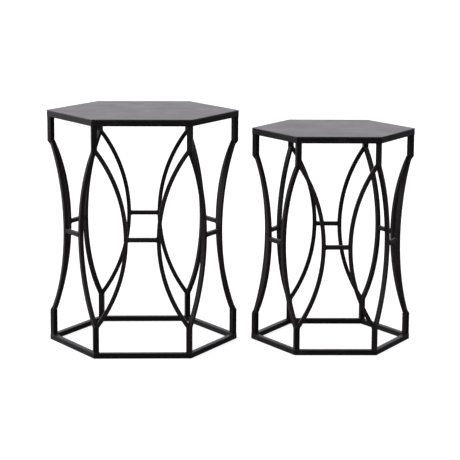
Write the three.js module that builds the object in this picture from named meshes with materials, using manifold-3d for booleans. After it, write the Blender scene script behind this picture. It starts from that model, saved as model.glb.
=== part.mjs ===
// A pair of nesting side tables in black iron: a large and a small hexagonal table built the same way.
// A sheet top lies on a rail of square bar. Under each corner a short post splits into two curved bars,
// one in each face, which meet again on a short post of the base frame. A crossbar ties each face's pair.
// Millimetres, +Z up. The origin is on the floor, under the middle of the pair.

import * as THREE from "three";
import { mergeVertices } from "three/addons/utils/BufferGeometryUtils.js";
import Module from "manifold-3d";

// The two tables
const largeTable = {
  name: "large",
  height: 560, // floor to the top of the sheet
  acrossCorners: 454, // of the base ring
  lowerPost: 72, // floor to where the lower post splits
  upperPost: 56, // length of an upper post
  bow: 70, // how far a curved bar bows sideways from the line between its ends
  turn: 2.1, // degrees about its own upright axis
};
const smallTable = {
  name: "small",
  height: 518,
  acrossCorners: 387,
  lowerPost: 63,
  upperPost: 50,
  bow: 60,
  turn: 1.2,
};

// Bar and sheet stock
const frameBar = 12.7; // square bar of the base ring, the top rail and the posts
const curvedBar = 10; // square bar of the curved bars
const crossBar = 10; // square bar of the crossbars
const sheetThickness = 3;
const railOverhang = 1.5; // of the top rail's outer faces past those of the base ring
const sheetOverhang = 0.5; // of the sheet's edge past the top rail

// How the bars meet
const weldGap = 0.3; // between two pieces that are welded to each other
const postSetback = 0.5; // of a post's outer edge inside the corner of its ring or rail
const barSetback = 3; // of the curved bars' outer faces behind the base ring's
const barLanding = 5.5; // from the corner of the base ring, along the face, to the end of a curved bar's centreline
const postSink = 1; // how far a lower post is let into the base ring

// How the two tables stand
const tableSpacing = 35; // between the nearest corners of the two base rings
const smallTableBack = 13; // how far the small table's axis is behind the large one's

const faces = 6;
const faceAngle = (2 * Math.PI) / faces;
const iron = { color: 0x1d1a1a, roughness: 0.5, metalness: 0.6 };
const satinSheet = { color: 0x2c2a2c, roughness: 0.4, metalness: 0.6 };

const wasm = await Module();
wasm.setup();

// The solid of a closed geometry, for cutting and joining.
function solidOf(geometry) {
  const bare = geometry.clone();
  bare.deleteAttribute("normal");
  bare.deleteAttribute("uv");
  const merged = mergeVertices(bare, 1e-4);
  return new wasm.Manifold(
    new wasm.Mesh({
      numProp: 3,
      vertProperties: merged.getAttribute("position").array,
      triVerts: new Uint32Array(merged.index.array),
    }),
  );
}

// The geometry of a solid, with flat faces.
function geometryOf(solid) {
  const { vertProperties, triVerts } = solid.getMesh();
  const indexed = new THREE.BufferGeometry()
    .setAttribute("position", new THREE.BufferAttribute(vertProperties, 3))
    .setIndex(new THREE.BufferAttribute(triVerts, 1));
  const flat = indexed.toNonIndexed();
  flat.computeVertexNormals();
  return flat;
}

function namedMesh(name, geometry, finish) {
  const mesh = new THREE.Mesh(geometry, new THREE.MeshStandardMaterial(finish));
  mesh.name = name;
  return mesh;
}

// A level hexagon with its corners at this radius, the first corner on +X.
function hexagonPoints(cornerRadius) {
  return Array.from({ length: faces }, (_, corner) =>
    new THREE.Vector2(cornerRadius, 0).rotateAround(new THREE.Vector2(), corner * faceAngle),
  );
}

// Distance from the middle of a hexagon to its sides, and back to its corners.
const toSide = (cornerRadius) => cornerRadius * Math.cos(faceAngle / 2);
const toCorner = (sideDistance) => sideDistance / Math.cos(faceAngle / 2);

// Places and lengths that follow from a table's own sizes.
function layoutOf(table) {
  const cornerRadius = table.acrossCorners / 2;
  const sheetUnderside = table.height - sheetThickness;
  const railUnderside = sheetUnderside - weldGap - frameBar;
  const upperPostTop = railUnderside - weldGap;
  const upperPostFoot = upperPostTop - table.upperPost;
  const barTop = upperPostFoot - weldGap;
  const barFoot = table.lowerPost + weldGap;
  return {
    cornerRadius,
    faceDistance: toSide(cornerRadius),
    railDistance: toSide(cornerRadius) + railOverhang,
    halfFace: cornerRadius / 2,
    sheetUnderside,
    railUnderside,
    upperPostTop,
    barTop,
    barFoot,
    waistHeight: (barTop + barFoot) / 2,
    halfBarHeight: (barTop - barFoot) / 2,
    waistFromCorner: barLanding + table.bow,
  };
}

// The hexagonal sheet.
function topSheetGeometry({ railDistance, sheetUnderside }) {
  const outline = new THREE.Shape(hexagonPoints(toCorner(railDistance + sheetOverhang)));
  const sheet = new THREE.ExtrudeGeometry(outline, { depth: sheetThickness, bevelEnabled: false });
  return sheet.translate(0, 0, sheetUnderside);
}

// A level hexagonal ring of frame bar, its outer faces this far from the middle, its underside at this height.
function ringGeometry(outerDistance, underside) {
  const outline = new THREE.Shape(hexagonPoints(toCorner(outerDistance)));
  outline.holes.push(new THREE.Path(hexagonPoints(toCorner(outerDistance - frameBar))));
  const ring = new THREE.ExtrudeGeometry(outline, { depth: frameBar, bevelEnabled: false });
  return ring.translate(0, 0, underside);
}

// An upright post on the corner that lies on +X at this radius, with one of its edges facing outwards.
function postGeometry(corner, foot, top) {
  const halfDiagonal = frameBar / Math.SQRT2;
  return new THREE.BoxGeometry(frameBar, frameBar, top - foot)
    .rotateZ(Math.PI / 4)
    .translate(corner - postSetback - halfDiagonal, 0, (foot + top) / 2);
}

// The base ring and its lower posts, one welded piece.
function baseFrameGeometry(layout, postTop) {
  const post = postGeometry(layout.cornerRadius, frameBar - postSink, postTop);
  let frame = solidOf(ringGeometry(layout.faceDistance, 0));
  for (let corner = 0; corner < faces; corner++) {
    frame = frame.add(solidOf(post.clone().rotateZ(corner * faceAngle)));
  }
  return geometryOf(frame);
}

// A curved bar of the face that looks along +Y. Its side is 1 near the +X corner and -1 near the other.
// It is an arc in the plane of the face, cut level at both ends and mitred against the next face's bar.
function curvedBarGeometry(layout, bow, side) {
  const { cornerRadius, faceDistance, halfFace, halfBarHeight, waistHeight, waistFromCorner } = layout;
  const arcRadius = (halfBarHeight ** 2 + bow ** 2) / (2 * bow);
  const arcCentre = side * (halfFace - waistFromCorner + arcRadius);
  const facing = side > 0 ? Math.PI : 0;
  const wide = arcRadius + curvedBar / 2;
  const tight = arcRadius - curvedBar / 2;
  const wideEnd = Math.asin(halfBarHeight / wide);
  const tightEnd = Math.asin(halfBarHeight / tight);
  const outline = new THREE.Shape();
  outline.absarc(arcCentre, 0, wide, facing - wideEnd, facing + wideEnd, false);
  outline.absarc(arcCentre, 0, tight, facing + tightEnd, facing - tightEnd, true);
  const bar = new THREE.ExtrudeGeometry(outline, { depth: curvedBar, bevelEnabled: false, curveSegments: 14 })
    .rotateX(Math.PI / 2)
    .translate(0, faceDistance - barSetback, waistHeight);

  const cutter = new THREE.BoxGeometry(cornerRadius, 2 * cornerRadius, 2 * layout.upperPostTop)
    .translate(cornerRadius / 2 - weldGap / 2, cornerRadius, 0)
    .rotateZ(-faceAngle / 2);
  if (side < 0) {
    cutter.rotateY(Math.PI);
  }
  return geometryOf(solidOf(bar).subtract(solidOf(cutter)));
}

// The crossbar of the face that looks along +Y.
function crossbarGeometry({ halfFace, faceDistance, waistHeight, waistFromCorner }) {
  const halfLength = halfFace - waistFromCorner - curvedBar / 2 - weldGap;
  return new THREE.BoxGeometry(2 * halfLength, crossBar, crossBar).translate(
    0,
    faceDistance - barSetback - curvedBar / 2,
    waistHeight,
  );
}

function makeTable(table) {
  const layout = layoutOf(table);
  const group = new THREE.Group();
  const piece = (name, geometry, finish) => namedMesh(`${table.name}_${name}`, geometry, finish);
  group.add(piece("top_sheet", topSheetGeometry(layout), satinSheet));
  group.add(piece("top_rail", ringGeometry(layout.railDistance, layout.railUnderside), iron));
  group.add(piece("base_frame", baseFrameGeometry(layout, table.lowerPost), iron));

  const { railDistance, upperPostTop } = layout;
  const upperPost = postGeometry(toCorner(railDistance), upperPostTop - table.upperPost, upperPostTop);
  const rightBar = curvedBarGeometry(layout, table.bow, 1);
  const leftBar = curvedBarGeometry(layout, table.bow, -1);
  const crossbar = crossbarGeometry(layout);
  for (let index = 0; index < faces; index++) {
    const number = index + 1;
    const post = piece(`upper_post_${number}`, upperPost, iron);
    post.rotation.z = index * faceAngle;
    group.add(post);

    const face = new THREE.Group();
    face.rotation.z = index * faceAngle;
    face.add(piece(`curved_bar_${number}_right`, rightBar, iron));
    face.add(piece(`curved_bar_${number}_left`, leftBar, iron));
    face.add(piece(`crossbar_${number}`, crossbar, iron));
    group.add(face);
  }
  group.rotation.z = THREE.MathUtils.degToRad(table.turn);
  return group;
}

const large = makeTable(largeTable);
const small = makeTable(smallTable);
small.position.x = (largeTable.acrossCorners + smallTable.acrossCorners) / 2 + tableSpacing;
small.position.y = smallTableBack;

const tables = new THREE.Group();
tables.add(large, small);
const middle = new THREE.Box3().setFromObject(tables, true).getCenter(new THREE.Vector3());
tables.position.set(-middle.x, -middle.y, 0);

export default tables;
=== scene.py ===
# A pair of hexagonal nesting side tables in black iron. Metres, +Z up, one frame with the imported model.
import math

import bmesh
import bpy
from mathutils import Matrix, Vector, noise


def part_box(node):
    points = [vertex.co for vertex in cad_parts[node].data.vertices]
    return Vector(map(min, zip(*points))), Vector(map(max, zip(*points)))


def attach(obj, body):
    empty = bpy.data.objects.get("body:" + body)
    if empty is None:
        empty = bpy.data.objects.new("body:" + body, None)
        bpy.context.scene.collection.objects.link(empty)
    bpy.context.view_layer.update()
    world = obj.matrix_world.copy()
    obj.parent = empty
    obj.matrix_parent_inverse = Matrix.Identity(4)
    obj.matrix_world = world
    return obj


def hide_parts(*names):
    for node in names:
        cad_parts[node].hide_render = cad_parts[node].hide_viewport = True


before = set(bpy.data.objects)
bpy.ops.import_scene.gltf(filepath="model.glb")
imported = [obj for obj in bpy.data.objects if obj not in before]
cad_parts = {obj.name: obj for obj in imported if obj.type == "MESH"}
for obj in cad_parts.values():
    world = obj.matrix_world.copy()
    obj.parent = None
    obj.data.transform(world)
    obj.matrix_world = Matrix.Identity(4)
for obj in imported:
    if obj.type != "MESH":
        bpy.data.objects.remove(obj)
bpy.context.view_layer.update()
print("frame loaded:", len(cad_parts), "nodes")

corners = range(6)
sixth = math.tau / 6

stock = {
    "frameBar": 0.0127,  # square bar of the rings and posts
    "curvedBar": 0.010,
    "crossBar": 0.010,
    "postSetback": 0.0005,  # of a post's outer edge inside the corner of the frame
    "barSetback": 0.003,  # of the curved bars' outer faces behind the frame's
    "barLanding": 0.0055,  # from the corner, along the face, to the end of a curved bar
    "edgeRadius": 0.0009,  # rolled edge of every bar
    "edgeSegments": 3,
    "endBevel": 0.0004,  # at the sawn ends, which leaves a fine groove at each mitre
    "postSink": 0.001,  # of a lower post into the base ring
}
tableShapes = {
    "large": {"turn": math.radians(2.1), "bow": 0.070, "body": "large_table"},
    "small": {"turn": math.radians(1.2), "bow": 0.060, "body": "small_table"},
}


# a Wire is one socket of a shader graph, and arithmetic on Wires adds Math nodes
class Wire:
    def __init__(self, graph, socket):
        self.graph, self.socket = graph, socket

    def math(self, operation, first, second=0.0):
        return self.graph.node("ShaderNodeMath", {"operation": operation}, {0: first, 1: second})

    def __add__(self, other):
        return self.math("ADD", self, other)

    def __radd__(self, other):
        return self.math("ADD", other, self)

    def __sub__(self, other):
        return self.math("SUBTRACT", self, other)

    def __rsub__(self, other):
        return self.math("SUBTRACT", other, self)

    def __mul__(self, other):
        return self.math("MULTIPLY", self, other)

    def __rmul__(self, other):
        return self.math("MULTIPLY", other, self)

    def __pow__(self, other):
        return self.math("POWER", self, other)

    def limit(self, low, high):
        return self.math("MINIMUM", self.math("MAXIMUM", self, low), high)

    def plus(self, other):
        # of two vectors or colours
        return self.graph.node("ShaderNodeVectorMath", {"operation": "ADD"}, {0: self, 1: other})


class Graph:
    def __init__(self, owner):
        # the owner is a material or a world
        owner.use_nodes = True
        self.owner, self.tree = owner, owner.node_tree
        self.surface = self.tree.nodes.get("Principled BSDF") or self.tree.nodes.get("Background")

    def node(self, kind, settings=None, sockets=None, output=0):
        made = self.tree.nodes.new(kind)
        for key, value in (settings or {}).items():
            if key == "stops":
                ramp = made.color_ramp.elements
                while len(ramp) < len(value):
                    ramp.new(1.0)
                for stop, (place, shade) in zip(ramp, value):
                    stop.position = place
                    stop.color = (shade, shade, shade, 1.0)
            else:
                setattr(made, key, value)
        for key, value in (sockets or {}).items():
            self.plug(made.inputs[key], value)
        return Wire(self, made.outputs[output])

    def plug(self, socket, value):
        if isinstance(value, Wire):
            self.tree.links.new(value.socket, socket)
        else:
            socket.default_value = value

    def finish(self, **sockets):
        for key, value in sockets.items():
            self.plug(self.surface.inputs[key.replace("_", " ")], value)
        return self.owner

    def split(self, vector):
        parts = self.tree.nodes.new("ShaderNodeSeparateXYZ")
        self.plug(parts.inputs[0], vector)
        return [Wire(self, part) for part in parts.outputs]

    def scaled(self, colour, amount):
        return self.node("ShaderNodeVectorMath", {"operation": "SCALE"}, {0: colour, "Scale": amount})

    # object coordinates in metres, stretched and turned
    def place(self, scale=(1, 1, 1), turn=(0, 0, 0)):
        spot = self.node("ShaderNodeTexCoord", output="Object")
        return self.node("ShaderNodeMapping", {}, {"Vector": spot, "Scale": scale, "Rotation": turn})

    def clouds(self, place, scale, detail=3.0, roughness=0.5):
        settings = {"noise_dimensions": "3D"}
        sockets = {"Vector": place, "Scale": scale, "Detail": detail, "Roughness": roughness}
        return self.node("ShaderNodeTexNoise", settings, sockets)

    def ramp(self, wire, *stops):
        return self.node("ShaderNodeValToRGB", {"stops": stops}, {"Fac": wire})

    def tint(self, mask, first, second):
        # each is a colour or a Wire that carries one
        first, second = [c if isinstance(c, Wire) else (*c, 1.0) for c in (first, second)]
        sockets = {0: mask, 6: first, 7: second}
        return self.node("ShaderNodeMix", {"data_type": "RGBA"}, sockets, output=2)

    def bump(self, height, distance, strength=1.0, under=None):
        sockets = {"Height": height, "Distance": distance, "Strength": strength}
        if under is not None:
            sockets["Normal"] = under
        return self.node("ShaderNodeBump", {}, sockets)


barPaint = {
    "dark": (0.0022, 0.0018, 0.0018),
    "pale": (0.0055, 0.0046, 0.0045),
    "slimHighlitDark": (0.0046, 0.0037, 0.0035),  # the curved bars and crossbars: a paler copy of the bar paint, a painted highlight for their thin lit edges
    "slimHighlitPale": (0.0100, 0.0084, 0.0080),
    "scuffed": (0.026, 0.024, 0.023),
    "scuffShows": 0.35,
    "ior": 1.23,
    "patchScale": 22.0,  # scales are lumps per metre
    "dentScale": 110.0,
    "skinScale": 620.0,
    "gritScale": 2100.0,
    "dentDepth": 0.0009,
    "skinDepth": 0.00018,
    "leastRough": 0.29,
    "patchRough": 0.16,  # added where the patches and the skin are strongest
    "skinRough": 0.12,
}


def newPaint(name):
    return Graph(bpy.data.materials.new(name))


# satin black paint brushed over square bar: soft hammer dents, an orange-peel skin, a few rubbed spots
def barIron(name, dark, pale):
    g = newPaint(name)
    near = g.place()
    patches = g.clouds(near, barPaint["patchScale"], 3.0)
    dents = g.clouds(near, barPaint["dentScale"], 2.0, 0.45)
    skin = g.clouds(near, barPaint["skinScale"], 3.0, 0.55)
    grit = g.clouds(near, barPaint["gritScale"], 2.0, 0.6)
    rubbed = g.ramp(patches * 0.6 + skin * 0.4, (0.56, 0.0), (0.68, 1.0)) * barPaint["scuffShows"]
    shade = g.tint((dents * 0.6 + grit * 0.4).limit(0.0, 1.0), dark, pale)
    colour = g.tint(rubbed, shade, barPaint["scuffed"])
    rough = barPaint["leastRough"] + patches * barPaint["patchRough"] + skin * barPaint["skinRough"]
    normal = g.bump(dents, barPaint["dentDepth"], 0.35)
    normal = g.bump(skin, barPaint["skinDepth"], 0.5, normal)
    g.surface.inputs["IOR"].default_value = barPaint["ior"]
    return g.finish(Base_Color=colour, Roughness=rough.limit(0.25, 0.7), Normal=normal)


sheetPaint = {
    "dark": (0.0058, 0.0054, 0.0063),
    "pale": (0.0270, 0.0255, 0.0295),
    "grain": math.radians(4),  # direction of the faint streaks
    "grainStretch": 14.0,
    "ior": 1.38,
    "streakScale": 9.0,  # scales are lumps per metre
    "blotchScale": 16.0,
    "waveScale": 5.5,
    "skinScale": 700.0,
    "dustScale": 1500.0,
    "waveDepth": 0.004,
    "skinDepth": 0.00012,
    "leastRough": 0.19,
    "streakRough": 0.14,  # added where the streaks, the blotches and the skin are strongest
    "blotchRough": 0.22,
    "skinRough": 0.06,
}


# the tops: the same paint sprayed flat, with faint wiped streaks and the slow waves of thin sheet
def sheetIron():
    g = newPaint("satinSheetIron")
    along = g.place((1.0, sheetPaint["grainStretch"], 1.0), (0, 0, sheetPaint["grain"]))
    near = g.place()
    streaks = g.clouds(along, sheetPaint["streakScale"], 5.0, 0.6)
    blotches = g.clouds(near, sheetPaint["blotchScale"], 3.0, 0.55)
    waves = g.clouds(near, sheetPaint["waveScale"], 2.0, 0.4)
    skin = g.clouds(near, sheetPaint["skinScale"], 3.0, 0.55)
    dust = g.ramp(g.clouds(near, sheetPaint["dustScale"], 2.0, 0.6), (0.66, 0.0), (0.74, 1.0))
    mask = g.ramp(streaks * 0.45 + blotches * 0.40 + dust * 0.15, (0.30, 0.0), (0.62, 1.0))
    colour = g.tint(mask, sheetPaint["dark"], sheetPaint["pale"])
    rough = sheetPaint["leastRough"] + streaks * sheetPaint["streakRough"]
    rough = rough + blotches * sheetPaint["blotchRough"] + skin * sheetPaint["skinRough"]
    normal = g.bump(waves, sheetPaint["waveDepth"], 0.09)
    normal = g.bump(skin, sheetPaint["skinDepth"], 0.3, normal)
    g.surface.inputs["IOR"].default_value = sheetPaint["ior"]
    return g.finish(Base_Color=colour, Roughness=rough.limit(0.22, 0.6), Normal=normal)


weldPaint = {
    "lumpScale": 420.0,  # lumps per metre
    "skinScale": 1300.0,
    "lumpDepth": 0.0006,
    "skinDepth": 0.00015,
    "leastRough": 0.42,
    "lumpRough": 0.2,  # added where the lumps are strongest
}


# the same black over a weld: rougher, with the lumps of the cooled metal
def weldIron():
    g = newPaint("blackWeldIron")
    near = g.place()
    lumps = g.clouds(near, weldPaint["lumpScale"], 3.0, 0.5)
    skin = g.clouds(near, weldPaint["skinScale"], 2.0, 0.6)
    colour = g.tint(lumps, barPaint["dark"], barPaint["pale"])
    rough = (weldPaint["leastRough"] + lumps * weldPaint["lumpRough"]).limit(0.35, 0.7)
    normal = g.bump(lumps, weldPaint["lumpDepth"], 0.6)
    normal = g.bump(skin, weldPaint["skinDepth"], 0.5, normal)
    g.surface.inputs["IOR"].default_value = barPaint["ior"]
    return g.finish(Base_Color=colour, Roughness=rough, Normal=normal)


paints = {
    "bar": barIron("blackFrameIron", barPaint["dark"], barPaint["pale"]),
    # the paler copy for the curved bars and crossbars, a painted highlight
    "slim": barIron("blackSlimIronPaintedHighlight", barPaint["slimHighlitDark"], barPaint["slimHighlitPale"]),
    "sheet": sheetIron(),
    "weld": weldIron(),
}
print("materials made:", ", ".join(sorted(paints)))


# where each table's parts are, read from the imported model
def tableLayout(name):
    shape = tableShapes[name]
    sheetLow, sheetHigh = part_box(f"{name}_top_sheet")
    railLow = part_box(f"{name}_top_rail")[0]
    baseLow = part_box(f"{name}_base_frame")[0]
    barLow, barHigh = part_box(f"{name}_curved_bar_1_right")
    middle = (sheetLow + sheetHigh) / 2
    axis = Vector((middle.x, middle.y, 0))

    def reach(node):
        return max((v.co.xy - axis.xy).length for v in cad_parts[node].data.vertices)

    corner = reach(f"{name}_base_frame")
    return {
        "body": shape["body"],
        "stand": Matrix.Translation(axis) @ Matrix.Rotation(shape["turn"], 4, "Z"),
        "corner": corner,
        "side": corner * math.cos(sixth / 2),
        "sheetCorner": reach(f"{name}_top_sheet"),
        "railCorner": reach(f"{name}_top_rail"),
        "sheetSpan": (sheetLow.z, sheetHigh.z),
        "railSpan": (railLow.z, sheetLow.z),
        "baseTop": baseLow.z + stock["frameBar"],
        "upperPostSpan": (barHigh.z, railLow.z),
        "lowerPostSpan": (baseLow.z + stock["frameBar"] - stock["postSink"], barLow.z),
        "barSpan": (barLow.z, barHigh.z),
        "waist": (barLow.z + barHigh.z) / 2,
        "bow": shape["bow"],
    }


def squareSection(bm, size, plane):
    # a square with rolled corners, in the plane that the matrix gives
    ring = bmesh.ops.create_circle(bm, cap_ends=True, segments=4, radius=size / math.sqrt(2),
                                   matrix=plane @ Matrix.Rotation(math.tau / 8, 4, "Z"))
    bmesh.ops.bevel(bm, geom=ring["verts"], offset=stock["edgeRadius"], offset_type="OFFSET",
                    segments=stock["edgeSegments"], profile=0.5, affect="VERTICES", material=-1)


def cutPlane(bm, point, outward, bevel=0.0):
    # takes away what lies past the plane, closes the cut and breaks its edge
    geometry = bm.verts[:] + bm.edges[:] + bm.faces[:]
    cut = bmesh.ops.bisect_plane(bm, geom=geometry, plane_co=point, plane_no=outward, clear_outer=True)
    rim = [g for g in cut["geom_cut"] if isinstance(g, bmesh.types.BMEdge)]
    if not rim:
        return
    bmesh.ops.edgeloop_fill(bm, edges=rim)
    if bevel:
        bmesh.ops.bevel(bm, geom=rim, offset=bevel, offset_type="OFFSET", segments=1, profile=0.5,
                        affect="EDGES", material=-1)


def straightBar(size, start, end, spin=0.0):
    # a square bar from start to end, turned about its own length
    bm = bmesh.new()
    start, end = Vector(start), Vector(end)
    line = end - start
    plane = Matrix.Translation(start) @ line.to_track_quat("Z", "Y").to_matrix().to_4x4()
    squareSection(bm, size, plane @ Matrix.Rotation(spin, 4, "Z"))
    made = bmesh.ops.extrude_face_region(bm, geom=bm.faces[:])
    moved = [g for g in made["geom"] if isinstance(g, bmesh.types.BMVert)]
    bmesh.ops.translate(bm, verts=moved, vec=line)
    bmesh.ops.recalc_face_normals(bm, faces=bm.faces[:])
    return bm


def ringBar(reach, span):
    # one mitred side of a ring, on the side that looks along +Y; reach is out to the ring's corners
    size = stock["frameBar"]
    height = (span[0] + span[1]) / 2
    depth = reach * math.cos(sixth / 2) - size / 2
    bm = straightBar(size, (-reach, depth, height), (reach, depth, height))
    for way in (-1, 1):
        outward = Vector((way * math.cos(sixth / 2), -math.sin(sixth / 2), 0))
        cutPlane(bm, Vector((0, 0, 0)), outward, stock["endBevel"])
    return bm


def post(reach, foot, top):
    # an upright bar on the +X corner, one edge outwards; reach is out to the corner
    spot = reach - stock["postSetback"] - stock["frameBar"] / math.sqrt(2)
    return straightBar(stock["frameBar"], (spot, 0, foot), (spot, 0, top), math.tau / 8)


curvedBarShape = {
    "steps": 56,
    "spare": 1.03,  # its length before the ends are sawn, times the finished length
}


def curvedBar(layout, way):
    # an arc in the plane of the face that looks along +Y; way is 1 at its +X corner
    size = stock["curvedBar"]
    low, high = layout["barSpan"]
    half = (high - low) / 2
    bow = layout["bow"]
    radius = (half**2 + bow**2) / (2 * bow)
    reach = math.asin(half / (radius - size / 2)) * curvedBarShape["spare"]
    innermost = layout["corner"] / 2 - stock["barLanding"] - bow
    depth = layout["side"] - stock["barSetback"] - size / 2
    centre = Vector((way * (innermost + radius), depth, layout["waist"]))
    bm = bmesh.new()
    upright = Matrix.Translation(centre - Vector((way * radius, 0, 0)))
    squareSection(bm, size, upright)
    bmesh.ops.rotate(bm, cent=centre, matrix=Matrix.Rotation(-reach, 3, "Y"), verts=bm.verts[:])
    bmesh.ops.spin(bm, geom=bm.verts[:] + bm.edges[:] + bm.faces[:], cent=centre, axis=(0, 1, 0),
                   angle=2 * reach, steps=curvedBarShape["steps"], use_duplicate=False)
    bmesh.ops.recalc_face_normals(bm, faces=bm.faces[:])
    cutPlane(bm, Vector((0, 0, low)), Vector((0, 0, -1)))
    cutPlane(bm, Vector((0, 0, high)), Vector((0, 0, 1)))
    cutPlane(bm, Vector((0, 0, 0)), Vector((way * math.cos(sixth / 2), -math.sin(sixth / 2), 0)))
    return bm


def crossbarReach(layout):
    # half its length, and how far out its middle lies
    half = layout["corner"] / 2 - stock["barLanding"] - layout["bow"] - stock["curvedBar"] / 2
    return half, layout["side"] - stock["barSetback"] - stock["curvedBar"] / 2


def crossbar(layout):
    half, depth = crossbarReach(layout)
    return straightBar(stock["crossBar"], (-half, depth, layout["waist"]), (half, depth, layout["waist"]))


sheetEdge = {
    "cornerRadius": 0.0016,
    "cornerSegments": 4,
    "edgeRadius": 0.0009,
    "edgeSegments": 3,
    "level": 1e-6,  # an edge that rises by less lies flat
}


def topSheet(layout):
    low, high = layout["sheetSpan"]
    bm = bmesh.new()
    bmesh.ops.create_circle(bm, cap_ends=True, segments=6, radius=layout["sheetCorner"],
                            matrix=Matrix.Translation((0, 0, low)))
    bmesh.ops.rotate(bm, cent=(0, 0, 0), matrix=Matrix.Rotation(sixth / 2, 3, "Z"), verts=bm.verts[:])
    bmesh.ops.bevel(bm, geom=bm.verts[:], offset=sheetEdge["cornerRadius"], offset_type="OFFSET",
                    segments=sheetEdge["cornerSegments"], profile=0.5, affect="VERTICES", material=-1)
    made = bmesh.ops.extrude_face_region(bm, geom=bm.faces[:])
    moved = [g for g in made["geom"] if isinstance(g, bmesh.types.BMVert)]
    bmesh.ops.translate(bm, verts=moved, vec=(0, 0, high - low))
    bmesh.ops.recalc_face_normals(bm, faces=bm.faces[:])
    rims = [e for e in bm.edges if abs(e.verts[0].co.z - e.verts[1].co.z) < sheetEdge["level"]]
    bmesh.ops.bevel(bm, geom=rims, offset=sheetEdge["edgeRadius"], offset_type="OFFSET",
                    segments=sheetEdge["edgeSegments"], profile=0.5, affect="EDGES", material=-1)
    return bm


weld = {
    "bead": 0.0014,  # radius of a bead
    "crossbarThick": 1.35,  # times that at a crossbar's ends
    "ripple": 0.0013,  # from one ripple to the next
    "wobble": 0.22,  # how uneven the ripples are
    "wobbleScale": 700,  # changes per metre
    "wobbleShift": 7.3,  # from one corner's unevenness to the next
    "grain": 0.0006,  # fineness of the melted skin
    "softenings": 2,
    "inset": 0.0008,  # of a collar inside the outline of its bar
    "ridgeFall": 0.0095,  # how far a split's ridges run along the curved bars
    "ridgeSpread": 0.0042,
    "ridgeDepth": 0.0066,
    "ridgeStart": 0.0022,  # behind the post's outer edge
    "ridgeThick": (1.5, 0.6),  # from the post to the bars, in bead radii
    "crotchFall": 0.0045,
    "crotchLean": 0.001,
    "crotchThick": (2.2, 1.2),
    "tackLength": 0.014,  # under the sheet, along the rail's inner edge
    "tackThick": (1.3, 1.3),
}


def beadRow(bm, start, end, luck, thick=1.0, thin=1.0):
    # a row of overlapping ripples, from thick to thin; luck shifts the unevenness
    start, end = Vector(start), Vector(end)
    count = max(2, round((end - start).length / weld["ripple"]))
    for step in range(count + 1):
        spot = start.lerp(end, step / count)
        luckySpot = spot * weld["wobbleScale"] + Vector((luck * weld["wobbleShift"], 0, 0))
        uneven = 1 + weld["wobble"] * noise.noise(luckySpot)
        size = weld["bead"] * (thick + (thin - thick) * step / count) * uneven
        bmesh.ops.create_icosphere(bm, subdivisions=2, radius=size, matrix=Matrix.Translation(spot))


def collar(bm, plane, size, luck, thick=1.0):
    # beads along the four sides of a square bar's end
    half = size / 2 - weld["inset"]
    spots = [plane @ Vector((x * half, y * half, 0)) for x, y in ((-1, -1), (1, -1), (1, 1), (-1, 1))]
    for spot, after in zip(spots, spots[1:] + spots[:1]):
        beadRow(bm, spot, after, luck, thick, thick)


def melted(bm):
    # fuses overlapping ripples into one skin
    mesh = bpy.data.meshes.new("ripples")
    bm.to_mesh(mesh)
    bm.free()
    ripples = bpy.data.objects.new("ripples", mesh)
    bpy.context.scene.collection.objects.link(ripples)
    skin = ripples.modifiers.new("skin", "REMESH")
    skin.mode = "VOXEL"
    skin.voxel_size = weld["grain"]
    fused = bmesh.new()
    fused.from_object(ripples, bpy.context.evaluated_depsgraph_get())
    bpy.data.objects.remove(ripples)
    bpy.data.meshes.remove(mesh)
    for softening in range(weld["softenings"]):
        bmesh.ops.smooth_vert(fused, verts=fused.verts[:], factor=0.5, use_axis_x=True, use_axis_y=True,
                              use_axis_z=True)
    return fused


def cornerWelds(layout, luck):
    # all the welds of the +X corner: rail and ring mitres, both ends of the posts, and the two splits
    bm = bmesh.new()
    low, high = layout["barSpan"]
    diamond = Matrix.Rotation(math.tau / 8, 4, "Z")
    halfPost = stock["frameBar"] / math.sqrt(2)
    upper = layout["railCorner"] - stock["postSetback"]
    lower = layout["corner"] - stock["postSetback"]
    topJoint = upper, layout["railSpan"][0], high, -1
    baseJoint = lower, layout["baseTop"], low, 1
    for edge, foot, split, way in (topJoint, baseJoint):
        for height in (foot, split):
            collar(bm, Matrix.Translation((edge - halfPost, 0, height)) @ diamond, stock["frameBar"], luck)
        for side in (-1, 1):
            ridgeEnd = (layout["corner"] - weld["ridgeDepth"], side * weld["ridgeSpread"],
                        split + way * weld["ridgeFall"])
            beadRow(bm, (edge - weld["ridgeStart"], 0, split), ridgeEnd, luck, *weld["ridgeThick"])
        crotch = layout["corner"] - stock["barSetback"] - stock["curvedBar"] / 2
        crotchEnd = (crotch - weld["crotchLean"], 0, split + way * weld["crotchFall"])
        beadRow(bm, (crotch, 0, split), crotchEnd, luck, *weld["crotchThick"])
    railRing = layout["railCorner"], layout["railSpan"]
    baseRing = layout["corner"], (0, layout["baseTop"])
    for reach, span in (railRing, baseRing):
        inner = reach - stock["frameBar"] / math.cos(sixth / 2)
        beadRow(bm, (inner, 0, span[0] + weld["bead"]), (inner, 0, span[1] - weld["bead"]), luck)
    return melted(bm)


def crossbarWelds(layout, luck):
    bm = bmesh.new()
    half, depth = crossbarReach(layout)
    for way in (-1, 1):
        end = Matrix.Translation((way * half, depth, layout["waist"]))
        plane = end @ Matrix.Rotation(math.tau / 4, 4, "Y")
        collar(bm, plane, stock["crossBar"], luck + way, weld["crossbarThick"])
    return melted(bm)


def sheetTacks(layout, luck):
    # two short tacks under the sheet on the side that looks along +Y
    bm = bmesh.new()
    depth = layout["railCorner"] * math.cos(sixth / 2) - stock["frameBar"]
    for middle in (-layout["corner"] / 4, layout["corner"] / 4):
        start, end = middle - weld["tackLength"] / 2, middle + weld["tackLength"] / 2
        height = layout["sheetSpan"][0] - weld["bead"] / 2
        beadRow(bm, (start, depth, height), (end, depth, height), luck + middle, *weld["tackThick"])
    return melted(bm)


finish = {"sharpAngle": math.radians(40)}  # edges that turn by more stay sharp


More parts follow.
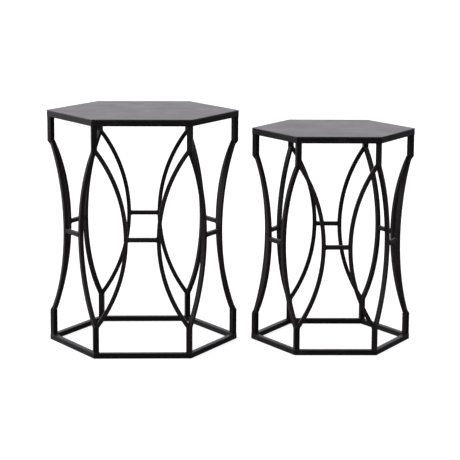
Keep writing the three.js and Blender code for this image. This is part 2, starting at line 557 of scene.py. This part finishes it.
def addPiece(layout, name, bm, turn, paint, slot, *nodes):
    # stands a finished shape in the table, and makes it an object
    place = layout["stand"] @ Matrix.Rotation(turn, 4, "Z")
    bmesh.ops.transform(bm, matrix=place, verts=bm.verts[:])
    for face in bm.faces:
        face.smooth = True
    mesh = bpy.data.meshes.new(name)
    bm.to_mesh(mesh)
    bm.free()
    mesh.set_sharp_from_angle(angle=finish["sharpAngle"])
    piece = bpy.data.objects.new(name, mesh)
    bpy.context.scene.collection.objects.link(piece)
    mesh.materials.append(paints[paint])
    even = piece.modifiers.new("evenShading", "WEIGHTED_NORMAL")
    even.keep_sharp = True
    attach(piece, layout["body"])
    if nodes:
        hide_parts(*nodes)


def buildTable(name):
    layout = tableLayout(name)
    frameSlot, topSlot = "frame_iron", "top_iron"
    addPiece(layout, f"{name}TopSheet", topSheet(layout), 0, "sheet", topSlot, f"{name}_top_sheet")
    for corner in corners:
        turn = corner * sixth
        number = corner + 1

        def addBar(label, bm, node=None, paint="bar"):
            nodes = [f"{name}_{node}"] if node else []
            addPiece(layout, f"{name}{label}", bm, turn, paint, frameSlot, *nodes)

        addBar(f"TopRail{number}", ringBar(layout["railCorner"], layout["railSpan"]), "top_rail")
        addBar(f"BaseRail{number}", ringBar(layout["corner"], (0, layout["baseTop"])), "base_frame")
        upperPost = post(layout["railCorner"], *layout["upperPostSpan"])
        addBar(f"UpperPost{number}", upperPost, f"upper_post_{number}")
        addBar(f"LowerPost{number}", post(layout["corner"], *layout["lowerPostSpan"]), "base_frame")
        # the curved bars and crossbars take the paint with the painted highlight
        for way, side in ((1, "right"), (-1, "left")):
            node = f"curved_bar_{number}_{side}"
            addBar(f"CurvedBar{number}{side.title()}", curvedBar(layout, way), node, "slim")
        addBar(f"Crossbar{number}", crossbar(layout), f"crossbar_{number}", "slim")
        addBar(f"CornerWelds{number}", cornerWelds(layout, number), paint="weld")
        addBar(f"CrossbarWelds{number}", crossbarWelds(layout, number), paint="weld")
        addBar(f"SheetTacks{number}", sheetTacks(layout, number), paint="weld")
    print(name, "table built")


for name in tableShapes:
    buildTable(name)


view = {
    "spot": (-0.0020, -4.19, 1.0325),
    "down": 0.1837,  # radians below the level
    "roll": 0.0058,
    "lens": 138.2,
    "sensor": 36.0,
    "shiftY": 0.0145,
    "farthest": 100.0,
}


def makeCamera():
    data = bpy.data.cameras.new("studioCamera")
    data.sensor_width = view["sensor"]
    data.lens = view["lens"]
    data.shift_y = view["shiftY"]
    data.clip_end = view["farthest"]
    camera = bpy.data.objects.new("studioCamera", data)
    aim = Matrix.Rotation(math.pi / 2 - view["down"], 4, "X") @ Matrix.Rotation(view["roll"], 4, "Z")
    camera.matrix_world = Matrix.Translation(view["spot"]) @ aim
    bpy.context.scene.collection.objects.link(camera)
    bpy.context.scene.camera = camera


studio = {
    "floorSize": 60.0,
    "floorColour": 0.26,
    "floorGlow": 0.78,  # the floor is a lit white table
    "floorGap": 0.0002,  # under the tables
    "domeRadius": 27.0,
    "domeGlow": 1.0,
    "evenTint": (1.0, 0.93, 0.90),
    "evenGlow": 0.035,
    "backTint": (0.945, 0.905, 1.0),
    "backGlow": 1.0,
    "backPower": 3.0,  # how tightly it keeps to the back
    "backFade": 2.5,  # below the horizon
    "backLean": 1.1,  # a little brighter on the right
    "backLeanMost": 0.1,
    "leftTint": (0.985, 0.955, 1.0),
    "leftGlow": 2.1,
    "leftPower": 1.5,
    "leftFade": 3.8,  # below the horizon, and how it grows above
    "ceilingGlow": 0.5,
    "ceilingRise": 2.2,  # how soon it grows above the horizon
    "sunStrength": 1.5,
    "sunAngle": math.radians(120),
    "sunLean": math.radians(8),
}


def addStage(name, bm, colour, glow):
    mesh = bpy.data.meshes.new(name)
    bm.to_mesh(mesh)
    bm.free()
    piece = bpy.data.objects.new(name, mesh)
    bpy.context.scene.collection.objects.link(piece)
    g = newPaint(name)
    g.finish(Base_Color=(*[colour] * 3, 1.0), Roughness=0.9, Emission_Color=(1.0, 1.0, 1.0, 1.0),
             Emission_Strength=glow)
    mesh.materials.append(g.owner)
    piece.visible_glossy = False  # black paint then mirrors the dark studio and not the stage
    return piece


def makeStage():
    bm = bmesh.new()
    bmesh.ops.create_grid(bm, x_segments=1, y_segments=1, size=studio["floorSize"] / 2)
    floor = addStage("paleFloor", bm, studio["floorColour"], studio["floorGlow"])
    floor.location.z = -studio["floorGap"]
    # a white dome behind it all, which lights nothing
    bm = bmesh.new()
    bmesh.ops.create_uvsphere(bm, u_segments=48, v_segments=24, radius=studio["domeRadius"])
    dome = addStage("paleDome", bm, 0.0, studio["domeGlow"])
    dome.visible_diffuse = dome.visible_shadow = dome.visible_transmission = False


def makeLight():
    # soft light from behind the tables and from their left, a dim ceiling, little on the other sides
    world = bpy.data.worlds.new("studioWorld")
    g = Graph(world)
    way = g.node("ShaderNodeTexCoord", output="Generated")
    x, y, z = g.split(way)
    left = (0 - x).limit(0.0, 1.0) ** studio["leftPower"] * studio["leftGlow"]
    left = left * (1 + z * studio["leftFade"]).limit(0.0, 2.0)
    back = y.limit(0.0, 1.0) ** studio["backPower"] * studio["backGlow"]
    back = back * (1 + z * studio["backFade"]).limit(0.0, 1.0)
    lean = x.limit(-studio["backLeanMost"], studio["backLeanMost"]) * studio["backLean"]
    back = back * (1 + lean)
    ceiling = (z * studio["ceilingRise"]).limit(0.0, 1.0) * studio["ceilingGlow"]
    glow = g.scaled(studio["leftTint"], left).plus(g.scaled(studio["backTint"], back + ceiling))
    glow = glow.plus(g.scaled(studio["evenTint"], studio["evenGlow"]))
    g.finish(Color=glow, Strength=1.0)
    bpy.context.scene.world = world

    sun = bpy.data.lights.new("overhead", "SUN")
    sun.energy = studio["sunStrength"]
    sun.angle = studio["sunAngle"]
    lamp = bpy.data.objects.new("overhead", sun)
    lamp.matrix_world = Matrix.Rotation(studio["sunLean"], 4, "Y")
    bpy.context.scene.collection.objects.link(lamp)


makeCamera()
makeStage()
makeLight()
bpy.context.scene.view_settings.view_transform = "Standard"
print("camera, floor and light set")
